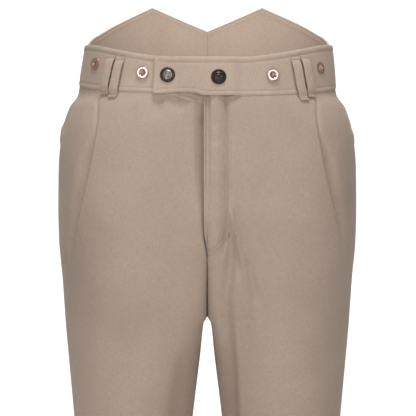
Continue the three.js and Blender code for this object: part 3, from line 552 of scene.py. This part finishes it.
# The two back panels: cut from the same twill, fuller over the seat, and sewn to each other at the centre back seam
# and to the fronts at the outseams and inseams.
def back_shares(z):
    even, turned = (a[:, None] for a in per_share(z, False))
    beside_outseam = np.array([0, 0.8, 1.7, 3.0])[None] / even
    beside_centre = 1 - np.array([3.0, 1.7, 0.8, 0])[None] / turned
    middle = np.linspace(0.03, 0.965, 76)[None] + np.zeros((len(z), 1))
    return np.hstack([beside_outseam, middle, beside_centre])


for half, side in SIDES:
    piece = panel(f"back_panel_{side}", half, False, back_shares)
    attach(piece, "root")
    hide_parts(f"back_{side}")


# The waistband: doubled cloth over interfacing, 50 mm deep, sewn on a little proud of the panels. Its left half ends
# in a tab with rounded corners, which laps over the right half and closes with two press studs.
BAND_CLOTH, BAND_PROUD = 2.4, 1.0
WAIST = float(per_share([0.0], True)[0][0])
TAB = {"reach": 64.5, "ramp_from": 45, "ramp_to": 28, "corner": 6.5, "clearance": 1.1, "row": 7}
TOP_ROW, SEAM_ROW, UNDER_TAB = 7.2, 5.5, 3.4


def band_top(share):
    return 17 + 20 * smooth((0.84 - np.asarray(share)) / 0.72)


NEAR_EDGE = np.array([0, 0.5, 1.1, 1.9, 2.8, 3.7, 4.4, 5.0, 5.5, 6.0, 6.6, 7.4, 8.6, 10.5])


def band_points(half, shares, bottoms, tops, lifts, middle, relief):
    """Rows of points on the band's outer face, from bottom to top. relief is what sewing does to it."""
    low, high = bottoms + NEAR_EDGE[:, None], tops - NEAR_EDGE[::-1][:, None]
    t = np.linspace(0, 1, middle + 2)[1:-1][:, None]
    z = np.vstack([low, low[-1:] * (1 - t) + high[:1] * t, high])
    share = np.broadcast_to(shares, z.shape)
    out, _ = facing(half, share.ravel(), z.ravel())
    stand = BAND_PROUD + np.broadcast_to(lifts, z.shape) + relief(share, z - bottoms, tops - z)
    base = form(half, share.ravel(), z.ravel())
    return (base + out * stand.reshape(-1, 1)).reshape(*z.shape, 3)


def sewn_edge(distance, row):
    """A turned edge: it rounds off, swells, and dips where it is topstitched."""
    round_off = -0.9 * (1 - np.clip(distance / 1.9, 0, 1)) ** 2
    swell, dip = np.exp(-(((distance - row / 2) / 1.6) ** 2)), np.exp(-(((distance - row) / 1.0) ** 2))
    return round_off + 0.45 * swell - 0.55 * dip


def sewn_relief(share, above, below):
    return 0.8 * sewn_edge(below, TOP_ROW) + 0.6 * sewn_edge(above, SEAM_ROW)


def rounded(piece, width, segments=3):
    """Turns over the cut edges of a closed piece of cloth."""
    bpy.context.view_layer.objects.active = piece
    edge = piece.modifiers.new("turned edge", "BEVEL")
    edge.width = width * 0.001
    edge.segments = segments
    edge.limit_method = "ANGLE"
    edge.angle_limit = math.radians(50)
    bpy.ops.object.modifier_apply(modifier="turned edge")
    bpy.ops.object.shade_smooth_by_angle(angle=math.radians(60))


def under_tab(share):
    """How deep the right half sinks where the tab laps over it."""
    return -UNDER_TAB * smooth((22 - (1 - share) * WAIST) / 14)


def tab_arch(past):
    """How far the tab's lower edge arches up, this far past the centre front."""
    return through([0, 4, 14, 32, 50, 64.5], [0, 0.2, 3.0, 3.7, 2.6, 1.6], past)


def tab_lift(past):
    """How far the tab rises to lie on the right half."""
    return (BAND_CLOTH + TAB["clearance"]) * smooth((TAB["ramp_from"] + past) / (TAB["ramp_from"] - TAB["ramp_to"]))


def mirrored(share):
    return np.where(share > 1, 2 - share, share)


right_shares = np.concatenate([[0], np.linspace(0.0125, 0.75, 60), 1 - np.linspace(54, -25, 30) / WAIST])
band_right = cloth_grid("waistband_right_half", band_points(
    RIGHT, right_shares, band_bottom(RIGHT, right_shares), band_top(right_shares),
    under_tab(right_shares), 14, sewn_relief), BAND_CLOTH, band_twill)
rounded(band_right, 0.5)

near_tip = np.array([0.9, 0.75, 0.6, 0.46, 0.33, 0.22, 0.13, 0.06, 0.02])
tab_distance = np.concatenate([np.linspace(54, -56, 48), -TAB["reach"] + 7 * near_tip])
left_shares = np.concatenate([[0], np.linspace(0.0125, 0.75, 60), 1 - tab_distance / WAIST])
past_centre = (left_shares - 1) * WAIST
from_tip = np.clip(TAB["reach"] - past_centre, 0, TAB["corner"])
corner = TAB["corner"] - np.sqrt(np.maximum(TAB["corner"] ** 2 - (TAB["corner"] - from_tip) ** 2, 0))
left_bottom = band_bottom(LEFT, np.minimum(left_shares, 1)) + tab_arch(past_centre) + corner
left_top = band_top(mirrored(left_shares)) - corner


def tab_relief(share, above, below):
    """As on the band, with one more row of stitches across the tab's end."""
    to_tip = TAB["reach"] - (share - 1) * WAIST
    inside = smooth((to_tip - 3) / 4)
    across = sewn_edge(to_tip, TAB["row"]) * smooth(above / 5) * smooth(below / 5)
    return sewn_relief(share, above, below) * inside + across


band_left = cloth_grid("waistband_left_half_and_tab", band_points(
    LEFT, left_shares, left_bottom, left_top, tab_lift(past_centre), 14, tab_relief), BAND_CLOTH, band_twill)
rounded(band_left, 0.5)
for piece, node, length in ((band_left, "waistband_left", 0.29), (band_right, "waistband_right", 0.25)):
    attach(piece, "root")
    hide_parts(node)


# The back rise: back waistband and fishtail peak cut in one, doubled, with a centre back seam. It stands up behind
# the waist to hold the back braces, and its inner face shows over the front waistband.
BACK_PEAK, BACK_FOOT, PEAK_Z, FOOT_Z = 0.655, 0.09, 93.5, 38.5


def fishtail_top(share):
    b = np.abs(share)
    t = np.clip((b - BACK_FOOT) / (BACK_PEAK - BACK_FOOT), 0, 1)
    rising = FOOT_Z + (PEAK_Z - FOOT_Z) * t + 1.5 * np.sin(math.pi * np.minimum(t / 0.3, 1))
    falling = PEAK_Z - 30.0 * np.clip((b - BACK_PEAK) / (1 - BACK_PEAK), 0, 1)
    foot = FOOT_Z - 1.5 + 1.5 * np.clip(b / BACK_FOOT, 0, 1)
    return np.where(b < BACK_FOOT, foot, np.where(b < BACK_PEAK, rising, falling))


def rise_relief(share, above, below):
    centre_seam = np.exp(-((((1 - np.abs(share)) * WAIST) / 1.3) ** 2))
    return 0.35 * sewn_relief(share, above, below) * (1 - centre_seam) - 0.3 * centre_seam


# The inner face is a paler twill, 1.34 times the tan. It is partly a paler facing cloth and partly painted light,
# lifting the shaded inside of the fishtail.
facing_twill_with_painted_light = tan_twill("paler facing twill inside the fishtail with painted light", tuple(c * 1.34 for c in TAN), 0.4)
rise_shares = -np.concatenate([
    [0], np.linspace(0.01, 0.64, 60), [BACK_PEAK], np.linspace(0.67, 0.98, 33),
    [0.99, 0.996, 0.9985, 1, 1 + 0.7 / WAIST],
])
SEAM_GROOVE, SEAM_GROOVE_WIDTH = 0.0014, 0.00045
for half, side in SIDES:
    rise = cloth_grid(f"fishtail_{side}_half", band_points(
        half, rise_shares, band_bottom(half, rise_shares), fishtail_top(rise_shares), 0.0, 22, rise_relief),
        BAND_CLOTH, band_twill, facing_twill_with_painted_light)
    for vertex in rise.data.vertices[len(rise.data.vertices) // 2:]:
        vertex.co.y += SEAM_GROOVE * math.exp(-((max(vertex.co.x * half, 0) / SEAM_GROOVE_WIDTH) ** 2))
    rounded(rise, 0.25, 2)
    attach(rise, "root")
    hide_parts(f"back_rise_{side}")


# The belt loops: strips of the same cloth folded to about 11.5 mm and sewn in pairs, tacked under the band's top
# edge and just below the waist seam, and lying nearly flat between, about 3 mm off the band.
LOOP_CLOTH, LOOP_STAND, LOOP_COLUMNS = 2.2, 2.6, 9


def belt_loop(name, half, sign, top_share, bottom_share, width, below):
    bottom = float(band_bottom(half, np.array([sign * bottom_share]))[0]) - below
    top = float(band_top(top_share)) - 8.5 if sign > 0 else bottom + 46 + below
    down = np.array([0, 0.02, 0.05, 0.09, 0.13, 0.17, 0.24, 0.32, 0.41, 0.5,
                     0.59, 0.68, 0.76, 0.82, 0.87, 0.91, 0.95, 0.98, 1])
    off = np.interp(down, [0, 0.08, 0.17, 0.32, 0.68, 0.82, 0.91, 1], [0, 0, 0.75, 1, 1, 0.85, 0.1, 0])
    z = top + (bottom - top) * down
    on_band = smooth((z - bottom - 4.5) / 3.6)
    across = np.linspace(-0.5, 0.5, LOOP_COLUMNS)
    lean = np.minimum(down / 0.8, 1)
    shares = (top_share + (bottom_share - top_share) * lean)[:, None] + across * width / WAIST
    share, level = sign * shares.ravel(), np.repeat(z, LOOP_COLUMNS)
    out, _ = facing(half, share, level)
    crown = 0.3 * (1 - (2 * across) ** 2)
    stand = (on_band * BAND_PROUD + 0.4 + LOOP_STAND * off)[:, None] + LOOP_CLOTH + crown
    points = (form(half, share, level) + out * stand.reshape(-1, 1)).reshape(len(down), LOOP_COLUMNS, 3)
    for row in (2, -3):
        along = points[row, -1] - points[row, 0]
        up = out.reshape(points.shape)[row, LOOP_COLUMNS // 2]
        loop_ends.append((points[row, LOOP_COLUMNS // 2], along / np.linalg.norm(along), up))
    return cloth_grid(name, points, LOOP_CLOTH, band_twill)


loop_ends = []
for half, side in SIDES:
    for sign, face in ((1, "front"), (-1, "back")):
        lean = 0.0255 if half == LEFT else 0.0225
        for pair, top_share, width, below in (("inner", 0.4976, 11.6, 8.5), ("outer", 0.4345, 11.5, 5.5)):
            name = f"belt_loop_{face}_{side}_{pair}"
            loop = belt_loop(name, half, sign, top_share, top_share - lean, width, below)
            rounded(loop, 0.5, 2)
            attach(loop, "root")
            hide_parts(f"loop_{face}_{side}_{pair}")


# The topstitching: tan thread, about three millimetres to a stitch. A stitch is a small bead of thread sunk in the
# cloth. It is modelled once and repeated along each row.
def thread_material(name, colour):
    material, nodes, links, shader = new_material(name)
    strands = noise(nodes, links, nodes.new("ShaderNodeTexCoord").outputs["Object"], Scale=2600)
    tone = ramp(nodes, links, strands, [c * 0.8 for c in colour], [c * 1.15 for c in colour], 0, 1)
    links.new(tone, shader.inputs["Base Color"])
    set_values(shader, {"Roughness": 0.6, "Sheen Weight": 0.2})
    return material


tan_thread = thread_material("tan thread", (0.40, 0.30, 0.235))
bpy.ops.mesh.primitive_uv_sphere_add(segments=6, ring_count=4, radius=1, location=(0, 0, 0))
bead = bpy.context.object
bead_points = np.array([v.co[:] for v in bead.data.vertices])
bead_faces = [tuple(polygon.vertices) for polygon in bead.data.polygons]
bpy.data.objects.remove(bead)


def sew(name, rows, length=2.3, pitch=3.0, width=0.5, material=tan_thread):
    """Rows of stitches in one mesh. A row is its points and the directions out of the cloth there, in mm."""
    points, faces = [], []
    for line, out in rows:
        line, out = np.asarray(line, float), np.asarray(out, float)
        run = np.concatenate([[0], np.cumsum(np.linalg.norm(np.diff(line, axis=0), axis=1))])
        on_line = lambda values, at: np.array([np.interp(at, run, values[:, i]) for i in range(3)])
        for at in np.arange(pitch / 2, run[-1], pitch):
            step = on_line(line, at + 0.6) - on_line(line, at - 0.6)
            along = step / max(np.linalg.norm(step), 1e-9)
            across = np.cross(on_line(out, at), along)
            across /= max(np.linalg.norm(across), 1e-9)
            shaped = bead_points * (length / 2, width / 2, width / 2)
            faces += [tuple(i + len(points) * len(bead_points) for i in face) for face in bead_faces]
            points.append(on_line(line, at) + shaped @ np.stack([along, across, np.cross(along, across)]))
    mesh = bpy.data.meshes.new(name)
    mesh.from_pydata((np.concatenate(points) * 0.001).tolist(), [], faces)
    mesh.materials.append(material)
    mesh.update()
    mesh.shade_smooth()
    row = add(name, mesh)
    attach(row, "root")
    return row


def on_band(half, share, z, stand):
    out, _ = facing(half, share, z)
    return form(half, share, z) + out * np.asarray(stand).reshape(-1, 1), out


# Band: one row 7 mm under the top edge, one 5.5 mm above the seam, and one across the end of the tab.
SUNK = -0.28
right_line = np.linspace(0.002, 1 + 24 / WAIST, 160)
right_stand = BAND_PROUD + SUNK + under_tab(right_line)
tab_end = 1 + (TAB["reach"] - TAB["row"]) / WAIST
left_line = np.linspace(0.002, tab_end, 200)
past = (left_line - 1) * WAIST
left_stand = BAND_PROUD + SUNK + tab_lift(past)
end_z = np.linspace(float(band_bottom(LEFT, np.array([1.0]))[0]) + 1.6 + SEAM_ROW,
                    float(band_top(2 - tab_end)) - TOP_ROW, 16)
end_stand = np.full(16, BAND_PROUD + SUNK + BAND_CLOTH + TAB["clearance"])
sew("stitches_on_waistband", [
    on_band(RIGHT, right_line, band_top(right_line) - TOP_ROW, right_stand),
    on_band(RIGHT, right_line, band_bottom(RIGHT, right_line) + SEAM_ROW, right_stand),
    on_band(LEFT, left_line, band_top(mirrored(left_line)) - TOP_ROW, left_stand),
    on_band(LEFT, left_line, band_bottom(LEFT, np.minimum(left_line, 1)) + tab_arch(past) + SEAM_ROW, left_stand),
    on_band(LEFT, np.full(16, tab_end), end_z, end_stand),
])

# Fishtail: one row 6 mm under the top edge and one above the seam, which show on both faces.
rise_line = -np.linspace(0.004, 0.99, 150)
fishtail_rows = []
for half in (LEFT, RIGHT):
    for level in (fishtail_top(rise_line) - 6, band_bottom(half, rise_line) + SEAM_ROW):
        fishtail_rows.append(on_band(half, rise_line, level, BAND_PROUD + SUNK))
        inside, out = on_band(half, rise_line, level, BAND_PROUD + SUNK - BAND_CLOTH)
        fishtail_rows.append((inside, -out))
sew("stitches_on_fishtail", fishtail_rows)


def on_cloth(half, share, z):
    """A row on a panel's outer face, with the directions out of the cloth there."""
    out, _ = facing(half, share, z)
    return lay(half, share, z) + out * 0.1, out


# Fly: two rows of stitches, 4 mm apart, down the flap and round in a J to its edge.
def on_front(half, before_centre, z):
    z = np.asarray(z, float)
    return on_cloth(half, 1 - np.asarray(before_centre, float) / per_share(z, True)[1], z)


def j_row(inset):
    straight = np.linspace(-33, FLY_TURN_Z + inset * 0.6, 60)
    turn = np.linspace(0, math.pi / 2, 26)[1:]
    reach = FLY_REACH - inset
    down = np.concatenate([straight, straight[-1] - (FLY_TURN_DROP - inset * 0.8) * np.sin(turn)])
    away = np.concatenate([np.full(60, reach), reach * np.cos(turn) - 1.0 * np.sin(turn)])
    return on_front(LEFT, away, down)


sew("stitches_on_fly", [j_row(0), j_row(FLY_ROW_GAP)], width=0.55)

# Pleats: the fold is stitched down from the waist seam to where it opens.
pleat_z = np.linspace(-36, -69, 20)
beside_pleat = pleat_share(pleat_z) + 1.6 / per_share(pleat_z, True)[0]
sew("stitches_on_pleats", [on_cloth(half, beside_pleat, pleat_z) for half in (LEFT, RIGHT)], width=0.42)

# Hems: turned up inside and sewn 18 mm above the edge.
hem_line, hem_z = np.linspace(0.004, 0.996, 120), np.full(120, -867.0)
hem_rows = [on_cloth(half, sign * hem_line, hem_z) for half in (LEFT, RIGHT) for sign in (1, -1)]
sew("stitches_on_hems", hem_rows)


# Bartacks: short bars of close zigzag thread that take the strain. There is a dark one where the fly stitching
# turns, a pale one at the foot of the flap's edge, and one across each end of every belt loop.
def bartack(name, centres, along, out, length, width, material):
    rows = []
    for centre, direction, up in zip(centres, along, out):
        direction, up = np.asarray(direction, float), np.asarray(up, float)
        side = np.cross(up, direction)
        side /= np.linalg.norm(side)
        steps = np.arange(-length / 2, length / 2, 0.45)
        for step in steps:
            middle = centre + direction * step
            rows.append((np.array([middle - side * width / 2, middle + side * width / 2]), np.array([up, up])))
    return sew(name, rows, length=width, pitch=width * 0.999, width=0.5, material=material)


dark_thread = thread_material("dark brown thread", (0.13, 0.09, 0.07))
lilac_thread = thread_material("lilac grey thread", (0.40, 0.36, 0.44))
for name, before, z, tilt, length, width, material in (
    ("bartack_at_fly_turn", 26.8, -199, 0.12, 7.5, 1.0, dark_thread),
    ("bartack_at_fly_foot", 1.6, -212.5, 0.0, 11, 1.3, lilac_thread),
):
    middle, out = on_front(LEFT, [before], [z])
    below, _ = on_front(LEFT, [before + tilt * 2], [z - 2])
    direction = (below - middle)[0]
    bartack(name, middle + out * 0.15, [direction / np.linalg.norm(direction)], out, length, width, material)
middles, directions, outs = zip(*loop_ends)
bartack("bartacks_on_belt_loops", middles, directions, outs, 9.5, 1.4, tan_thread)


# The brace buttons: 15.5 mm, turned from pinkish-brown resin and polished, with a flat rim, a dished middle and
# four holes, sewn on with tan thread. Two are in front, two at the sides and two on the peaks of the fishtail.
resin, nodes, links, shader = new_material("pinkish brown resin")
place = nodes.new("ShaderNodeTexCoord").outputs["Object"]
marble = noise(nodes, links, place, Scale=260, Detail=4, Distortion=1.6)
cloudy = ramp(nodes, links, marble, (0.24, 0.12, 0.085), (0.42, 0.25, 0.19), 0.35, 0.7)
links.new(cloudy, shader.inputs["Base Color"])
set_values(shader, {"Roughness": 0.1, "Specular IOR Level": 1.0, "Coat Weight": 1.0, "Coat Roughness": 0.05})


def select_faces(piece, chosen):
    """In edit mode, selects the faces that chosen is true of."""
    bpy.ops.mesh.select_all(action="DESELECT")
    shape = bmesh.from_edit_mesh(piece.data)
    for face in shape.faces:
        face.select_set(chosen(face))
    bmesh.update_edit_mesh(piece.data)


def inset_and_lift(*steps):
    for inset, lift in steps:
        bpy.ops.mesh.inset(thickness=inset)
        bpy.ops.transform.translate(value=(0, 0, lift))


BUTTON_RADIUS, BUTTON_DEPTH, HOLE_RADIUS, HOLE_OFF = 0.00775, 0.0032, 0.00085, 0.00125
bpy.ops.mesh.primitive_cylinder_add(
    vertices=48, radius=BUTTON_RADIUS, depth=BUTTON_DEPTH, location=(0, 0, BUTTON_DEPTH / 2))
pattern = bpy.context.object
bpy.ops.object.mode_set(mode="EDIT")
select_faces(pattern, lambda face: face.normal.z > 0.9)
inset_and_lift((0.0034, 0), (0.0010, -0.0009), (0.0012, -0.00035), (0.0010, -0.0001))
select_faces(pattern, lambda face: face.normal.z < -0.9)
inset_and_lift((0.0016, -0.0004))
bpy.ops.object.mode_set(mode="OBJECT")
edge = pattern.modifiers.new("polished edges", "BEVEL")
edge.width, edge.segments, edge.limit_method, edge.angle_limit = 0.0003, 3, "ANGLE", math.radians(38)
bpy.ops.object.modifier_apply(modifier="polished edges")
for x, y in ((1, 1), (1, -1), (-1, 1), (-1, -1)):
    bpy.ops.mesh.primitive_cylinder_add(
        vertices=16, radius=HOLE_RADIUS, depth=0.008, location=(x * HOLE_OFF, y * HOLE_OFF, 0.001))
    drill = bpy.context.object
    hole = pattern.modifiers.new("hole", "BOOLEAN")
    hole.operation, hole.solver, hole.object = "DIFFERENCE", "EXACT", drill
    bpy.context.view_layer.objects.active = pattern
    bpy.ops.object.modifier_apply(modifier="hole")
    bpy.data.objects.remove(drill)
pattern.select_set(True)
pattern.data.materials.append(resin)
bpy.ops.object.shade_smooth_by_angle(angle=math.radians(35))
bpy.ops.mesh.primitive_torus_add(
    major_segments=20, minor_segments=8, major_radius=HOLE_OFF, minor_radius=0.00042, location=(0, 0, 0))
thread_ring = bpy.context.object
thread_ring.scale = (1, 0.36, 0.8)
bpy.ops.object.transform_apply(location=True, rotation=True, scale=True)
thread_points = np.array([v.co[:] for v in thread_ring.data.vertices])
thread_faces = [tuple(polygon.vertices) for polygon in thread_ring.data.polygons]
bpy.data.objects.remove(thread_ring)

BUTTONS = {
    "button_front_right": ((-78.1, -103.3, -1.5), (-0.310, -0.947, 0.087)),
    "button_front_left": ((79.1, -103.3, -4.4), (0.319, -0.943, 0.093)),
    "button_side_right": ((-137.0, -61.3, 11.2), (-0.768, -0.628, 0.126)),
    "button_side_left": ((137.7, -61.5, 6.2), (0.769, -0.629, 0.119)),
    "button_back_right": ((-72.1, 100.0, 76.0), (-0.311, 0.950, 0.015)),
    "button_back_left": ((72.1, 100.0, 76.0), (0.311, 0.950, 0.015)),
}


def turned_to(base, axis):
    """The place of a round piece that stands on base, in mm, along axis."""
    spin = Vector(axis).normalized().to_track_quat("Z", "Y").to_matrix().to_4x4()
    return Matrix.Translation(Vector(base) * 0.001) @ spin


for node, (base, axis) in BUTTONS.items():
    button = add(node.replace("button", "brace_button"), pattern.data.copy())
    button.data.transform(turned_to(base, axis))
    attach(button, "root")
    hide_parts(node)
    mesh = bpy.data.meshes.new(node.replace("button", "button_thread"))
    both = []
    for angle in (math.pi / 4, -math.pi / 4):
        c, q = math.cos(angle), math.sin(angle)
        both.append(thread_points @ np.array([[c, q, 0], [-q, c, 0], [0, 0, 1]]) * 1.25 + (0, 0, 0.0019))
    faces = thread_faces + [tuple(i + len(thread_points) for i in face) for face in thread_faces]
    mesh.from_pydata(np.concatenate(both).tolist(), [], faces)
    mesh.transform(turned_to(base, axis))
    mesh.materials.append(tan_thread)
    sewn = add(mesh.name, mesh)
    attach(sewn, "root")
bpy.data.objects.remove(pattern)


# The two press-stud caps on the tab: pressed steel with an antiqued gunmetal finish, a knurled rim and a domed
# middle with plain raised rings.
gunmetal, nodes, links, shader = new_material("antiqued gunmetal")
place = nodes.new("ShaderNodeTexCoord").outputs["Object"]
patina = noise(nodes, links, place, Scale=900, Detail=5)
worn = ramp(nodes, links, patina, (0.028, 0.018, 0.014), (0.13, 0.1, 0.085), 0.38, 0.72)
links.new(worn, shader.inputs["Base Color"])
rough = nodes.new("ShaderNodeMapRange")
set_values(rough, {"To Min": 0.28, "To Max": 0.5})
links.new(patina, rough.inputs["Value"])
links.new(rough.outputs["Result"], shader.inputs["Roughness"])
set_values(shader, {"Metallic": 0.9})

# The cap nearer the tab's end has its dome in a lighter metal. This is a painted highlight standing in for the
# softbox reflected in the dome.
dome_painted_highlight = gunmetal.copy()
dome_painted_highlight.name = "gunmetal with painted highlight on the dome"
for node in dome_painted_highlight.node_tree.nodes:
    if node.type == "VALTORGB":
        node.color_ramp.elements[0].color = (0.07, 0.055, 0.047, 1)
        node.color_ramp.elements[1].color = (0.5, 0.46, 0.43, 1)

bpy.ops.mesh.primitive_cylinder_add(vertices=96, radius=0.0092, depth=0.0022, location=(0, 0, 0.0011))
cap = bpy.context.object
bpy.ops.object.mode_set(mode="EDIT")
select_faces(cap, lambda face: face.normal.z > 0.9)
inset_and_lift(
    (0.0005, 0.0003), (0.0016, 0.0), (0.0003, -0.0005), (0.0004, 0.0), (0.0003, 0.0007),
    (0.0012, 0.0005), (0.00025, 0.0003), (0.0004, 0.0), (0.00025, -0.0002), (0.0014, 0.0003),
    (0.00025, 0.00022), (0.0004, 0.0), (0.00025, -0.00018), (0.0009, 0.00012))
select_faces(cap, lambda face: 0.0072 < face.calc_center_median().xy.length < 0.0086 and face.normal.z > 0.9)
bpy.ops.mesh.inset(thickness=0.00008, use_individual=True)
bpy.ops.transform.translate(value=(0, 0, 0.0002))
bpy.ops.object.mode_set(mode="OBJECT")
DOME_RADIUS = 0.0057
for polygon in cap.data.polygons:
    polygon.material_index = int(polygon.center.xy.length < DOME_RADIUS and polygon.center.z > 0.001)
cap.data.materials.append(gunmetal)
cap.data.materials.append(dome_painted_highlight)
bpy.ops.object.shade_smooth_by_angle(angle=math.radians(40))
for node, base in (("stud_tab", (-47.7, -114.0, -4.8)), ("stud_centre", (13.7, -117.5, -7.4))):
    low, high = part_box(node)
    half = LEFT if base[0] > 0 else RIGHT
    out, _ = facing(half, 1 - abs(base[0]) / WAIST, (low[2] + high[2]) / 2 * 1000)
    stud = add(node.replace("stud", "press_stud"), cap.data.copy())
    stud.data.transform(turned_to(base, tuple(out[0])))
    # The cap by the centre keeps plain gunmetal on its dome, without the painted highlight.
    if node == "stud_centre":
        stud.data.materials[1] = gunmetal
    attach(stud, "root")
    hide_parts(node)
bpy.data.objects.remove(cap)
